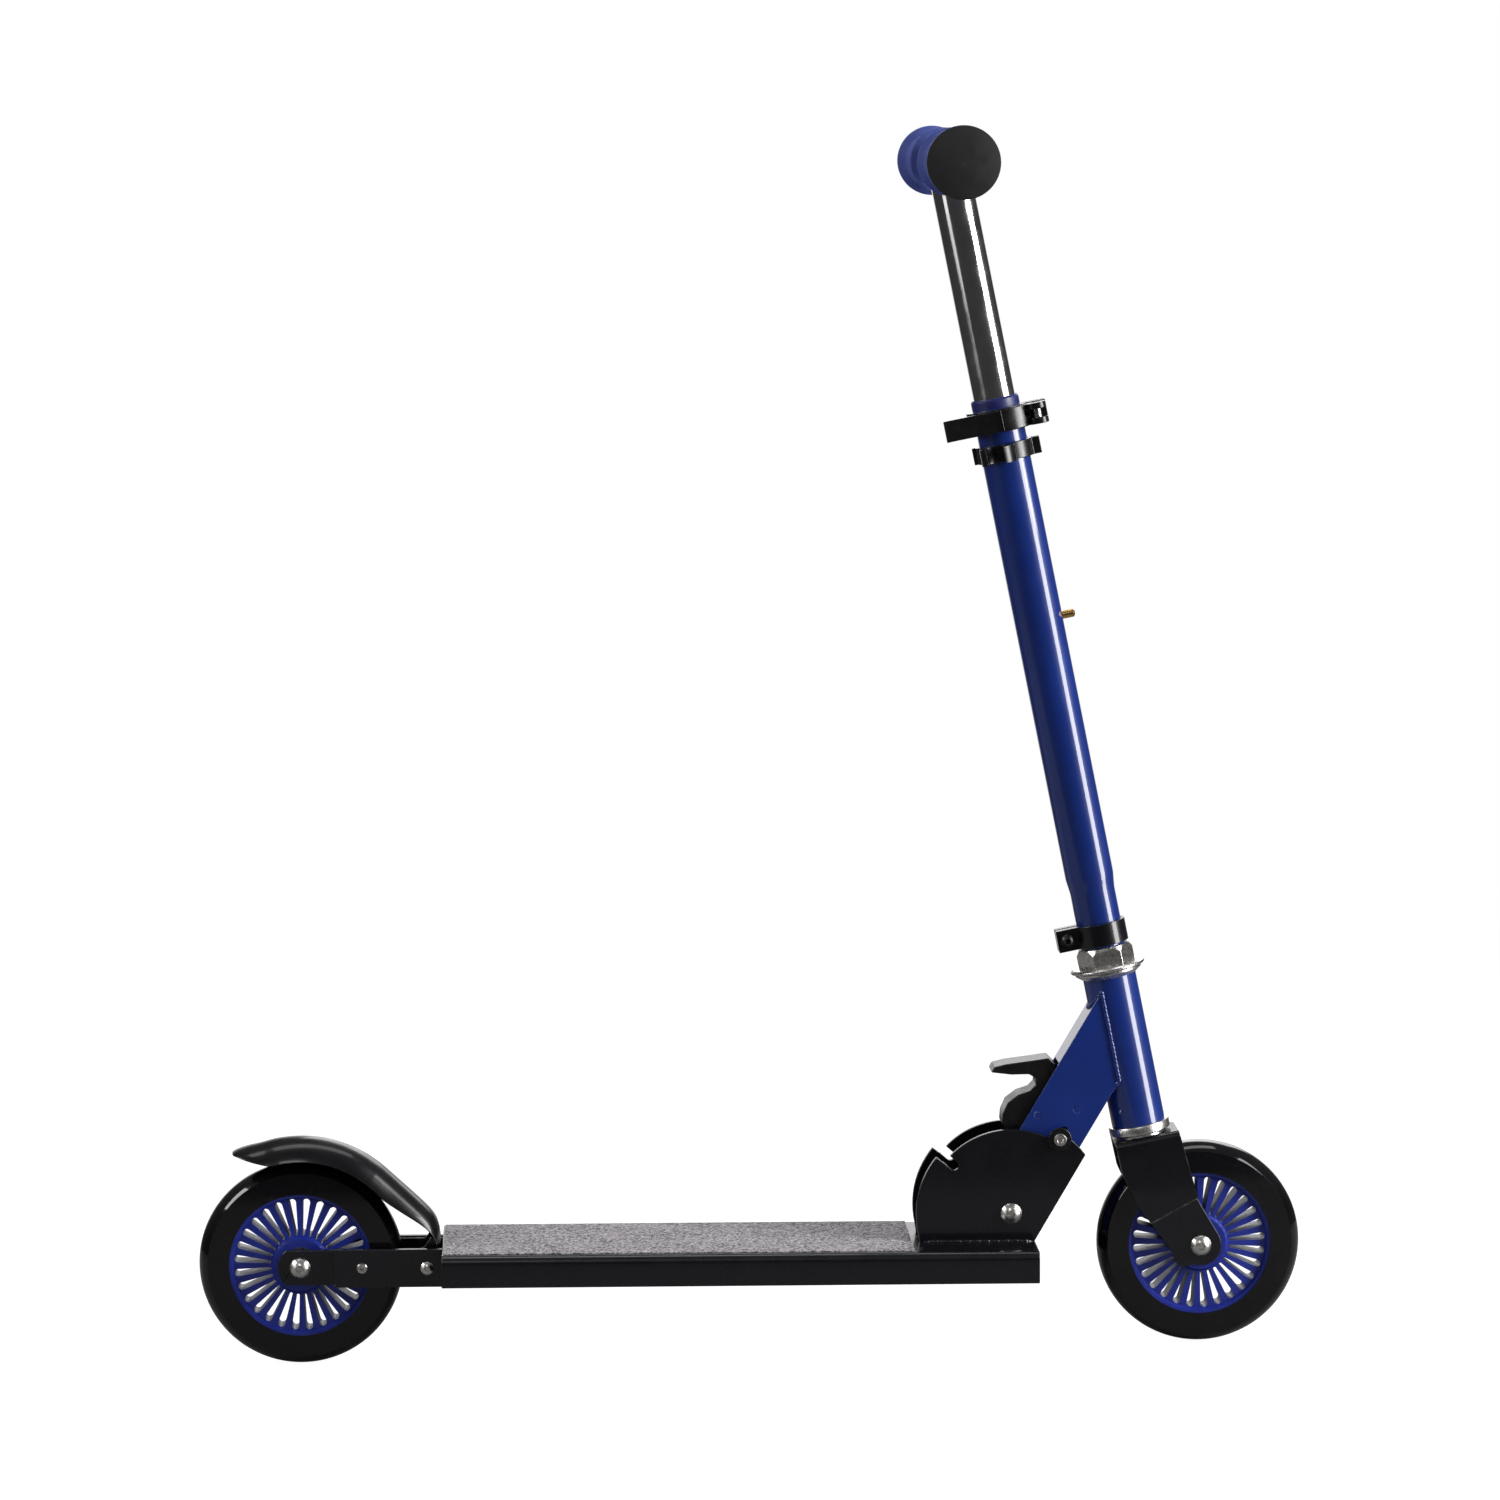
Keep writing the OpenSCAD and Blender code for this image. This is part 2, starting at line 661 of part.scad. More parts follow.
module handle_clip() color(black) {
  h = 10;
  steer_frame() rotate([0, 0, clip_turn]) translate([0, 0, clip_s - h / 2]) difference() {
    union() {
      cylinder(r = 16.8, h = h);
      for (s = [-1, 1]) translate([0, s * jaw_y, 0]) cylinder(r = 10.3, h = h);
      rotate([0, 0, -clip_turn]) translate([12, -4.2, 0]) cube([9, 8.4, h]);
      translate([-18.6, -3, 0]) cube([6, 6, h]);
    }
    translate([0, 0, -1]) cylinder(r = column_d / 2 + fit, h = h + 2);
    for (s = [-1, 1]) translate([0, s * jaw_y, -1]) {
      cylinder(r = 7.6, h = h + 2);
      translate([-5.1, s > 0 ? 0 : -20, 0]) cube([10.2, 20, h + 2]);
    }
    rotate([0, 0, -clip_turn]) translate([0, -1.2, -1]) cube([30, 2.4, h + 2]);
  }
}

module front_axle() color(chrome) steer_frame()
  bolt_y(front_u, front_s, -19, axle_r, 45, 12.2, 4.6, 5.2);

module front_axle_nut() color(chrome) steer_frame() nut_y(front_u, front_s, 19, axle_r, 13, 7);

module front_spacers() color(chrome) steer_frame() translate([front_u, 0, front_s]) spacers(15.5);

// ---- front wheel ----
module front_tyre() color([0.03, 0.03, 0.03])
  steer_frame() translate([front_u, 0, front_s]) tyre();
module front_core() color(blue) steer_frame() translate([front_u, 0, front_s]) core();
module front_bearings() color(chrome) steer_frame() translate([front_u, 0, front_s]) bearings();

// ---- snap button ----
module snap_button() color([0.6, 0.45, 0.2]) {
  r = 2.4;
  from = stem_d / 2 + 0.35;
  to = column_d / 2 + 7.6;
  ball = dome(2 * r, 1.1);
  steer_frame() translate([from, 0, button_s]) rotate([0, 90, 0]) intersection() {
    cylinder(r = r, h = to - from);
    union() {
      cylinder(r = r, h = to - from - 1.1);
      translate([0, 0, to - from - ball]) sphere(r = ball);
    }
  }
}

// V-shaped leaf with the stub that carries the button
module snap_spring() color([0.6, 0.6, 0.62]) {
  steer_frame() {
    side(-3, 6) polygon([[9.9, button_s + 5], [9.2, button_s + 5], [9.2, button_s - 4],
      [-0.3, button_s - 20.2], [-9.2, button_s + 5], [-9.9, button_s + 5],
      [-0.5, button_s - 21.6], [0.5, button_s - 21.6], [9.9, button_s - 5]]);
    translate([9.9, 0, button_s]) rotate([0, 90, 0])
      cylinder(r = 1.6, h = stem_d / 2 + 0.35 - 9.9);
  }
}

// ---- T-bar ----
module t_stem() color(chrome) {
  cross_r = 12.7;
  bore = 11.1;
  reach = 32;
  wall = 1.5;
  low = 300;
  steer_frame() difference() {
    union() {
      translate([0, 0, low]) cylinder(d = stem_d, h = bar_height - low);
      rod(0, bar_height, cross_r, -reach, reach);
    }
    translate([0, 0, low - 1]) cylinder(r = stem_d / 2 - wall, h = bar_height - low - 10);
    rod(0, bar_height, bore, -reach - 1, reach + 1);
    for (i = [0 : 2]) translate([5, 0, button_s + i * hole_pitch]) rotate([0, 90, 0])
      cylinder(r = 2.7, h = 10);
  }
}

module stem_plug() color([0.1, 0.1, 0.12]) turned([[7, 298], [12, 298], [12, 300],
  [stem_d / 2 - 1.5, 300], [stem_d / 2 - 1.5, 309], [7, 309]]);

module handle_tube(s) mirror([0, s, 0]) steer_frame()
  sleeve(0, bar_height, 11.03, 9.5, 5, bar_w / 2 - cap_t - 0.4);
module handle_tube_left() color(chrome) handle_tube(0);
module handle_tube_right() color(chrome) handle_tube(1);

module grip(s) {
  from = 32.3;
  to = bar_w / 2 - cap_t;
  r = grip_d / 2;
  end_r = cap_r;
  body = 16.6;
  ridges = 11;
  pitch = (to - from - 14) / ridges;
  mirror([0, s, 0]) steer_frame() translate([0, 0, bar_height]) rotate([-90, 0, 0])
    rotate_extrude() polygon([[11.05, from], [r - 0.8, from], [r, from + 0.8], [r, from + 3.4],
      [r - 1.4, from + 4.6], [body, from + 6.4],
      for (i = [0 : ridges - 1]) let (y = from + 7 + i * pitch)
        each [[body, y + 0.15 * pitch], [body - 0.7, y + 0.35 * pitch],
          [body - 0.7, y + 0.65 * pitch], [body, y + 0.85 * pitch]],
      [body, to - 6.4], [end_r - 1.8, to - 4.4], [end_r - 0.4, to - 3.4], [end_r, to - 2.6],
      [end_r, to], [11.05, to]]);
}
module grip_left() color([0.3, 0.34, 0.6]) grip(0);
module grip_right() color([0.3, 0.34, 0.6]) grip(1);

module end_cap(s) {
  from = bar_w / 2 - cap_t;
  ball = dome(2 * cap_r, 2.2);
  mirror([0, s, 0]) steer_frame() translate([0, from, bar_height]) rotate([-90, 0, 0]) {
    intersection() {
      cylinder(r = cap_r, h = cap_t);
      translate([0, 0, cap_t - ball]) sphere(r = ball);
    }
    translate([0, 0, -14]) cylinder(r = 9.4, h = 14.5);
  }
}
module end_cap_left() color(black) end_cap(0);
module end_cap_right() color(black) end_cap(1);

deck();
grip_tape();
bracket_plate_left();
bracket_plate_right();
pivot_bolt();
pivot_washers();
frame_nuts();
tail_plates();
axle_plates();
tail_rivets();
fender_bolt();
fender_spring();
rear_axle();
rear_spacers();
rear_tyre();
rear_core();
rear_bearings();
fender();
fender_sleeve();
neck_tube();
head_tube();
pivot_bush();
lower_cup();
upper_cup();
neck_pins();
lock_spring();
release_lever();
lock_pin();
lock_washers();
fork();
steerer();
crown_race();
headset_balls();
top_race();
locknut();
column_tube();
lower_clamp();
lower_clamp_screw();
column_bush();
top_clamp();
top_clamp_bolt();
clamp_lever();
handle_clip();
front_axle();
front_axle_nut();
front_spacers();
front_tyre();
front_core();
front_bearings();
snap_button();
snap_spring();
t_stem();
stem_plug();
handle_tube_left();
handle_tube_right();
grip_left();
grip_right();
end_cap_left();
end_cap_right();
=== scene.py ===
"""Looks of the folding kick scooter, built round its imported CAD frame. Lengths are metres."""

import json
from math import atan2, cos, hypot, pi, radians, sin, sqrt

import bmesh
import bpy
from mathutils import Matrix, Vector

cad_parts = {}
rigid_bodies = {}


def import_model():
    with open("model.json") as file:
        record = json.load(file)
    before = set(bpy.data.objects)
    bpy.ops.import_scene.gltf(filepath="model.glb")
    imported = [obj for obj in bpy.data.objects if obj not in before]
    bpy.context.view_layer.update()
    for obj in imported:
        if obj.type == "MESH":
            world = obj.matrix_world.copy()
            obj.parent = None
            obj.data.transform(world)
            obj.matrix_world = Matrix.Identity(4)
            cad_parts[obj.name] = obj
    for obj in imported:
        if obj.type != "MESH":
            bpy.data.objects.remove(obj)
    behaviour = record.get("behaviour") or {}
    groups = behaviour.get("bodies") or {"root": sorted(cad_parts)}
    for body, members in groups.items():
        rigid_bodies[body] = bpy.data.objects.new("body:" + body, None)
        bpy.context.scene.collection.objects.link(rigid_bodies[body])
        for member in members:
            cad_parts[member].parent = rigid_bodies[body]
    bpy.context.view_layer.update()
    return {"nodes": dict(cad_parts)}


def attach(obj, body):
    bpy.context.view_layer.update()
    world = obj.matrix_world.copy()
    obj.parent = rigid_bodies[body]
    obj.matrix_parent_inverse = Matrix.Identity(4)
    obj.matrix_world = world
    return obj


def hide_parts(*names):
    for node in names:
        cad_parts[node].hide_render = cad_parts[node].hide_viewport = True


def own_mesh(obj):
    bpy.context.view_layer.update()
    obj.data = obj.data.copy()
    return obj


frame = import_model()
scene = bpy.context.scene
mm = 0.001  # one millimetre, in metres


# ---------------------------------------------------------------- camera

CAMERA_PLACE = Vector((-0.11395, -3.38996, 0.71991))
CAMERA_YAW = radians(2.01)
CAMERA_PITCH = radians(6.10)
CAMERA_ROLL = radians(-1.04)
CAMERA_LENS = 139.76
SENSOR_WIDTH = 36.0


def make_camera():
    """A long lens a little above the deck, looking across the scooter from its right-hand side."""
    level = Vector((sin(CAMERA_YAW), cos(CAMERA_YAW), 0))
    across = Vector((cos(CAMERA_YAW), -sin(CAMERA_YAW), 0))
    up = Vector((0, 0, 1))
    forward = level * cos(CAMERA_PITCH) - up * sin(CAMERA_PITCH)
    upright = up * cos(CAMERA_PITCH) + level * sin(CAMERA_PITCH)
    right = across * cos(CAMERA_ROLL) + upright * sin(CAMERA_ROLL)
    top = upright * cos(CAMERA_ROLL) - across * sin(CAMERA_ROLL)
    data = bpy.data.cameras.new("camera")
    data.lens = CAMERA_LENS
    data.sensor_width = SENSOR_WIDTH
    data.clip_start = 0.05
    data.clip_end = 100.0
    camera = bpy.data.objects.new("camera", data)
    turn = Matrix((right, top, -forward)).transposed()
    camera.matrix_world = Matrix.Translation(CAMERA_PLACE) @ turn.to_4x4()
    scene.collection.objects.link(camera)
    scene.camera = camera


make_camera()


# ---------------------------------------------------------------- studio

FLOOR_RADIUS = 6.0
FLOOR_SOLID_RADIUS = 0.75
FLOOR_FADED_RADIUS = 1.9
FLOOR_LIT_REACH = 0.55
FLOOR_LIT_TONE = 0.2
FLOOR_DARK_TONE = 0.05
FLOOR_EDGE_BLUR = 0.03
FLOOR_SIDES = 64
ROOM_LOW = 0.04
ROOM_HIGH = 0.16
BACK_WALL = 0.9


def softbox(name, place, aim, width, height, power):
    """A rectangular soft light at place, facing aim."""
    light = bpy.data.lights.new(name, "AREA")
    light.shape = "RECTANGLE"
    light.size, light.size_y = width, height
    light.energy = power
    lamp = bpy.data.objects.new(name, light)
    lamp.location = place
    facing = Vector(aim) - Vector(place)
    lamp.rotation_euler = facing.to_track_quat("-Z", "Y").to_euler()
    lamp.visible_camera = False
    scene.collection.objects.link(lamp)


def make_world():
    """White to the camera. To light and reflections it is a dark room with a white wall behind."""
    world = bpy.data.worlds.new("room")
    world.use_nodes = True
    scene.world = world
    nodes, links = world.node_tree.nodes, world.node_tree.links
    nodes.clear()
    white = nodes.new("ShaderNodeBackground")
    room = nodes.new("ShaderNodeBackground")
    direction = nodes.new("ShaderNodeTexCoord")
    axes = nodes.new("ShaderNodeSeparateXYZ")
    links.new(direction.outputs["Generated"], axes.inputs[0])

    def shade(axis, start, end, low, high):
        """A tone that goes from low to high as the direction's axis part goes from start to end."""
        node = nodes.new("ShaderNodeMapRange")
        node.interpolation_type = "SMOOTHSTEP"
        for name, number in (
            ("From Min", start),
            ("From Max", end),
            ("To Min", low),
            ("To Max", high),
        ):
            node.inputs[name].default_value = number
        links.new(axes.outputs[axis], node.inputs["Value"])
        return node.outputs["Result"]

    total = nodes.new("ShaderNodeMath")
    total.operation = "ADD"
    links.new(shade("Z", -0.1, 0.95, ROOM_LOW, ROOM_HIGH), total.inputs[0])
    links.new(shade("Y", 0.86, 0.97, 0, BACK_WALL), total.inputs[1])
    links.new(total.outputs[0], room.inputs["Color"])
    white.inputs["Color"].default_value = (1, 1, 1, 1)
    seen = nodes.new("ShaderNodeLightPath")
    pick = nodes.new("ShaderNodeMixShader")
    out = nodes.new("ShaderNodeOutputWorld")
    links.new(seen.outputs["Is Camera Ray"], pick.inputs[0])
    links.new(room.outputs[0], pick.inputs[1])
    links.new(white.outputs[0], pick.inputs[2])
    links.new(pick.outputs[0], out.inputs["Surface"])


def make_floor():
    """A white floor that fades into the white background a little way from the scooter."""
    mesh = bpy.data.meshes.new("floor")
    turns = [2 * pi * k / FLOOR_SIDES for k in range(FLOOR_SIDES)]
    rim = [(FLOOR_RADIUS * cos(turn), FLOOR_RADIUS * sin(turn), 0) for turn in turns]
    mesh.from_pydata(rim, [], [list(range(FLOOR_SIDES))])
    floor = bpy.data.objects.new("floor", mesh)
    scene.collection.objects.link(floor)
    paper = bpy.data.materials.new("white_paper")
    paper.use_nodes = True
    nodes, links = paper.node_tree.nodes, paper.node_tree.links
    shader = nodes["Principled BSDF"]
    shader.inputs["Base Color"].default_value = (0.15, 0.15, 0.152, 1)
    shader.inputs["Roughness"].default_value = 0.9
    shader.inputs["Specular IOR Level"].default_value = 0.1
    shader.inputs["Emission Color"].default_value = (1, 1, 1, 1)
    shader.inputs["Emission Strength"].default_value = 0.96
    # To light and reflections the floor is a dim diffuse with a painted pool of light: lighter
    # within FLOOR_LIT_REACH either side of the scooter's centre line, darker beyond. The lower
    # halves of dark parts show it as a painted reflection.
    dim = nodes.new("ShaderNodeBsdfDiffuse")
    side = nodes.new("ShaderNodeSeparateXYZ")
    reach = nodes.new("ShaderNodeMath")
    reach.operation = "ABSOLUTE"
    tone = nodes.new("ShaderNodeMapRange")
    for name, number in (
        ("From Min", FLOOR_LIT_REACH - FLOOR_EDGE_BLUR),
        ("From Max", FLOOR_LIT_REACH + FLOOR_EDGE_BLUR),
        ("To Min", FLOOR_LIT_TONE),
        ("To Max", FLOOR_DARK_TONE),
    ):
        tone.inputs[name].default_value = number
    links.new(side.outputs["Y"], reach.inputs[0])
    links.new(reach.outputs[0], tone.inputs["Value"])
    links.new(tone.outputs["Result"], dim.inputs["Color"])
    seen = nodes.new("ShaderNodeLightPath")
    place = nodes.new("ShaderNodeTexCoord")
    distance = nodes.new("ShaderNodeVectorMath")
    distance.operation = "LENGTH"
    links.new(place.outputs["Object"], distance.inputs[0])
    links.new(place.outputs["Object"], side.inputs[0])
    fade = nodes.new("ShaderNodeMapRange")
    fade.interpolation_type = "SMOOTHSTEP"
    fade.inputs["From Min"].default_value = FLOOR_SOLID_RADIUS
    fade.inputs["From Max"].default_value = FLOOR_FADED_RADIUS
    links.new(distance.outputs["Value"], fade.inputs["Value"])
    clear = nodes.new("ShaderNodeBsdfTransparent")
    look = nodes.new("ShaderNodeMixShader")
    mix = nodes.new("ShaderNodeMixShader")
    links.new(seen.outputs["Is Camera Ray"], look.inputs[0])
    links.new(dim.outputs[0], look.inputs[1])
    links.new(shader.outputs[0], look.inputs[2])
    links.new(fade.outputs["Result"], mix.inputs[0])
    links.new(look.outputs[0], mix.inputs[1])
    links.new(clear.outputs[0], mix.inputs[2])
    links.new(mix.outputs[0], nodes["Material Output"].inputs["Surface"])
    mesh.materials.append(paper)


make_world()
make_floor()
MIDDLE = (0.05, 0, 0.3)
softbox("key_right", (1.95, -0.82, 0.75), (0.15, 0, 0.45), 0.75, 1.8, 56)
softbox("high_left", (-1.75, -0.35, 1.3), MIDDLE, 0.9, 0.7, 18)
softbox("low_left", (-1.9, -1.1, 0.65), MIDDLE, 0.8, 1.0, 3.2)
softbox("high_right", (1.75, -0.4, 1.2), MIDDLE, 0.5, 1.3, 16)
softbox("front_fill", (-0.6, -3.0, 2.3), MIDDLE, 0.7, 0.7, 10)
softbox("far_side", (0.5, 2.1, 1.3), MIDDLE, 1.6, 1.0, 14)
softbox("top_light", (0.0, 0.3, 2.3), MIDDLE, 2.0, 0.6, 11)
scene.view_settings.view_transform = "Standard"
scene.view_settings.look = "None"


# ---------------------------------------------------------------- materials


def srgb(red, green, blue):
    """A colour given as 0-255 display values, as the linear values that a shader takes."""

    def linear(value):
        value /= 255
        return value / 12.92 if value <= 0.04045 else ((value + 0.055) / 1.055) ** 2.4

    return (linear(red), linear(green), linear(blue), 1.0)


def shaded(colour, factor):
    """The colour made lighter or darker by a factor."""
    return tuple(min(1.0, part * factor) for part in colour[:3]) + (1.0,)


class Surface:
    """A node material whose colour, roughness and height vary with the place on the object."""

    def __init__(self, name):
        self.material = bpy.data.materials.new(name)
        self.material.use_nodes = True
        tree = self.material.node_tree
        self.nodes, self.links = tree.nodes, tree.links
        self.shader = self.nodes["Principled BSDF"]
        self.place = self.add("ShaderNodeTexCoord").outputs["Object"]

    def add(self, kind, **settings):
        """A new node with the given settings."""
        node = self.nodes.new(kind)
        for key, value in settings.items():
            setattr(node, key, value)
        return node

    def join(self, source, node, name):
        """Links source to the named input of node, and gives node back."""
        self.links.new(source, node.inputs[name])
        return node

    def set(self, **values):
        """Sets the shader's own sockets, such as coat_weight=1."""
        for name, value in values.items():
            socket = name.replace("_", " ").title().replace("Ior", "IOR")
            self.shader.inputs[socket].default_value = value

    def stretched(self, scale):
        """The place, stretched by three factors, for grain that runs one way."""
        node = self.add("ShaderNodeMapping")
        node.inputs["Scale"].default_value = scale
        self.join(self.place, node, "Vector")
        return node.outputs[0]

    def noise(self, size, detail=3.0, rough=0.5, place=None):
        """Noise with blotches of about the given size."""
        node = self.add("ShaderNodeTexNoise")
        self.join(place or self.place, node, "Vector")
        node.inputs["Scale"].default_value = 1 / size
        node.inputs["Detail"].default_value = detail
        node.inputs["Roughness"].default_value = rough
        return node.outputs["Fac"]

    def cells(self, size, output="Distance"):
        """Cells of about the given size, such as grit or pores."""
        node = self.add("ShaderNodeTexVoronoi")
        self.join(self.place, node, "Vector")
        node.inputs["Scale"].default_value = 1 / size
        return node.outputs[output]

    def ramp(self, value, low, high, start=0.3, end=0.7):
        """Maps value from start..end to low..high, held at both ends."""
        node = self.add("ShaderNodeMapRange")
        self.join(value, node, "Value")
        for name, number in (
            ("From Min", start),
            ("From Max", end),
            ("To Min", low),
            ("To Max", high),
        ):
            node.inputs[name].default_value = number
        return node.outputs["Result"]

    def maths(self, operation, first, second):
        """A sum, product or difference of two numbers or sockets."""
        node = self.add("ShaderNodeMath", operation=operation)
        for socket, value in zip(node.inputs, (first, second)):
            if isinstance(value, (int, float)):
                socket.default_value = value
            else:
                self.links.new(value, socket)
        return node.outputs[0]

    def blend(self, factor, first, second):
        """A colour between two, each one a colour or a socket."""
        node = self.add("ShaderNodeMix", data_type="RGBA")
        self.links.new(factor, node.inputs[0])
        for socket, value in zip((node.inputs[6], node.inputs[7]), (first, second)):
            if isinstance(value, tuple):
                socket.default_value = value
            else:
                self.links.new(value, socket)
        return node.outputs[2]

    def edges(self, reach):
        """1 on edges and corners within reach, 0 on flats, broken up into patches."""
        bevel = self.add("ShaderNodeBevel", samples=4)
        bevel.inputs["Radius"].default_value = reach
        normal = self.add("ShaderNodeNewGeometry").outputs["Normal"]
        dot = self.add("ShaderNodeVectorMath", operation="DOT_PRODUCT")
        self.links.new(bevel.outputs[0], dot.inputs[0])
        self.links.new(normal, dot.inputs[1])
        worn = self.ramp(dot.outputs["Value"], 1, 0, 0.80, 0.97)
        patches = self.ramp(self.noise(6 * mm, 4.0), 0, 1, 0.46, 0.60)
        return self.maths("MULTIPLY", worn, patches)

    def bump(self, height, distance, strength):
        """A normal tilted by the height, which is at most distance metres."""
        node = self.add("ShaderNodeBump")
        node.inputs["Distance"].default_value = distance
        node.inputs["Strength"].default_value = strength
        self.join(height, node, "Height")
        return node.outputs[0]

    def use(self, colour, roughness, normal):
        """Feeds the shader's colour, roughness and normal."""
        for source, name in ((colour, "Base Color"), (roughness, "Roughness"), (normal, "Normal")):
            self.join(source, self.shader, name)
        return self.material


def black_paint():
    """Glossy black powder coat: faint orange peel, and grey steel showing on rubbed edges."""
    s = Surface("black_powder_coat")
    s.set(coat_weight=0.5, coat_roughness=0.08, specular_ior_level=0.35)
    body = s.blend(s.ramp(s.noise(40 * mm), 0, 1), srgb(7, 8, 13), srgb(10, 10, 16))
    wear = s.edges(0.7 * mm)
    colour = s.blend(s.maths("MULTIPLY", wear, 0.35), body, srgb(120, 116, 118))
    roughness = s.ramp(s.noise(12 * mm, 3.0), 0.24, 0.32)
    peel = s.bump(s.noise(1.1 * mm, 2.0), 0.03 * mm, 0.25)
    return s.use(colour, roughness, peel)


def blue_paint():
    """Deep glossy navy enamel under clear lacquer."""
    s = Surface("navy_enamel")
    s.set(coat_weight=1.0, coat_roughness=0.025, coat_ior=1.5, specular_ior_level=0.3)
    body = s.blend(s.ramp(s.noise(55 * mm), 0, 1), srgb(12, 37, 106), srgb(16, 43, 118))
    wear = s.edges(0.6 * mm)
    colour = s.blend(s.maths("MULTIPLY", wear, 0.5), body, srgb(150, 155, 190))
    roughness = s.ramp(s.noise(14 * mm, 4.0), 0.30, 0.38)
    peel = s.bump(s.noise(1.6 * mm, 2.0), 0.04 * mm, 0.25)
    return s.use(colour, roughness, peel)


def fender_black():
    """Smooth gloss black of the pressed fender, deeper than the deck's coat."""
    s = Surface("fender_black")
    s.set(coat_weight=0.4, coat_roughness=0.12, specular_ior_level=0.2)
    body = s.blend(s.ramp(s.noise(30 * mm), 0, 1), srgb(6, 6, 9), srgb(10, 9, 13))
    colour = s.blend(s.maths("MULTIPLY", s.edges(0.6 * mm), 0.4), body, srgb(110, 108, 112))
    roughness = s.ramp(s.noise(16 * mm, 3.0), 0.26, 0.36)
    return s.use(colour, roughness, s.bump(s.noise(1.4 * mm, 2.0), 0.02 * mm, 0.2))


def chrome():
    """Bright plating with hairline polishing marks and a few dull patches."""
    s = Surface("bright_chrome")
    s.set(metallic=1.0)
    colour = s.blend(s.ramp(s.noise(30 * mm), 0, 1), srgb(214, 214, 218), srgb(232, 230, 228))
    hairs = s.noise(0.5 * mm, 3.0, 0.6, s.stretched((1, 1, 0.05)))
    roughness = s.ramp(s.noise(9 * mm, 6.0), 0.09, 0.18)
    return s.use(colour, roughness, s.bump(hairs, 0.01 * mm, 0.15))


def satin_chrome():
    """Plated headset parts, whose ground faces scatter the light more than the stem does."""
    s = Surface("satin_chrome")
    s.set(metallic=1.0)
    colour = s.blend(s.ramp(s.noise(3 * mm, 4.0), 0, 1), srgb(204, 201, 198), srgb(232, 229, 225))
    roughness = s.ramp(s.noise(1.8 * mm, 4.0), 0.24, 0.32)
    return s.use(colour, roughness, s.bump(s.noise(0.25 * mm, 3.0), 0.02 * mm, 0.15))


def zinc_steel():
    """Bright zinc plate: a soft grey metal with a faint yellow-blue passivation cloud."""
    s = Surface("zinc_plate")
    s.set(metallic=1.0)
    colour = s.blend(s.ramp(s.noise(5 * mm), 0, 1), srgb(188, 186, 180), srgb(200, 204, 212))
    roughness = s.ramp(s.noise(2.5 * mm, 5.0), 0.20, 0.38)
    return s.use(colour, roughness, s.bump(s.noise(0.35 * mm, 3.0), 0.02 * mm, 0.3))


def spring_steel():
    """Oiled spring wire, with drawing marks along it."""
    s = Surface("spring_wire")
    s.set(metallic=1.0)
    colour = s.blend(s.ramp(s.noise(3 * mm), 0, 1), srgb(120, 118, 116), srgb(158, 156, 152))
    roughness = s.ramp(s.noise(1.5 * mm, 4.0), 0.24, 0.42)
    return s.use(colour, roughness, s.bump(s.noise(0.3 * mm, 3.0), 0.02 * mm, 0.3))


def black_steel():
    """Black-oxide screws and pins, rubbed bright on their edges."""
    s = Surface("black_oxide")
    s.set(metallic=1.0)
    body = s.blend(s.ramp(s.noise(4 * mm), 0, 1), srgb(44, 43, 46), srgb(62, 60, 62))
    colour = s.blend(s.edges(0.4 * mm), body, srgb(150, 148, 146))
    roughness = s.ramp(s.noise(2 * mm, 5.0), 0.28, 0.45)
    return s.use(colour, roughness, s.bump(s.noise(0.4 * mm, 3.0), 0.02 * mm, 0.3))


def moulded(name, dark, light, low, high, grain, depth):
    """Moulded plastic: slow colour drift, uneven gloss and a fine texture."""
    s = Surface(name)
    body = s.blend(s.ramp(s.noise(18 * mm), 0, 1), dark, light)
    colour = s.blend(s.maths("MULTIPLY", s.edges(0.5 * mm), 0.4), body, shaded(light, 2.2))
    roughness = s.ramp(s.noise(7 * mm, 6.0), low, high)
    texture = s.bump(s.noise(grain, 3.0, 0.6), depth, 0.5)
    return s.use(colour, roughness, texture)


def tyre_rubber():
    """Cast black urethane: wet-looking sidewalls, and a tread dulled by dust and scuffs."""
    s = Surface("cast_urethane")
    s.set(coat_weight=0.6, coat_roughness=0.02, specular_ior_level=0.15)
    body = s.blend(s.ramp(s.noise(20 * mm), 0, 1), srgb(7, 6, 9), srgb(11, 10, 13))
    scuffs = s.ramp(s.noise(2.2 * mm, 6.0, 0.65), 0, 0.5, 0.56, 0.74)
    colour = s.blend(scuffs, body, srgb(40, 38, 40))
    polish = s.ramp(s.noise(9 * mm, 5.0), 0.08, 0.16)
    roughness = s.maths("ADD", polish, s.maths("MULTIPLY", scuffs, 0.2))
    return s.use(colour, roughness, s.bump(s.noise(3 * mm, 3.0), 0.03 * mm, 0.25))


def grip_tape():
    """Silicon-carbide grit on a black backing: grains of a few greys, with glints."""
    s = Surface("grip_tape")
    grain = s.cells(1.05 * mm, output="Color")
    tone = s.add("ShaderNodeSeparateColor")
    s.join(grain, tone, "Color")
    dark = s.blend(s.ramp(tone.outputs[0], 0, 1, 0.25, 0.85), srgb(40, 40, 48), srgb(186, 180, 184))
    patch = s.ramp(s.noise(22 * mm, 4.0), 0, 1)
    colour = s.blend(s.maths("MULTIPLY", patch, 0.35), dark, srgb(168, 164, 168))
    glint = s.ramp(tone.outputs[1], 0.85, 0.28, 0.80, 0.97)
    heap = s.maths("SUBTRACT", s.noise(0.9 * mm, 4.0, 0.7), s.cells(1.05 * mm))
    return s.use(colour, glint, s.bump(heap, 0.45 * mm, 1.0))


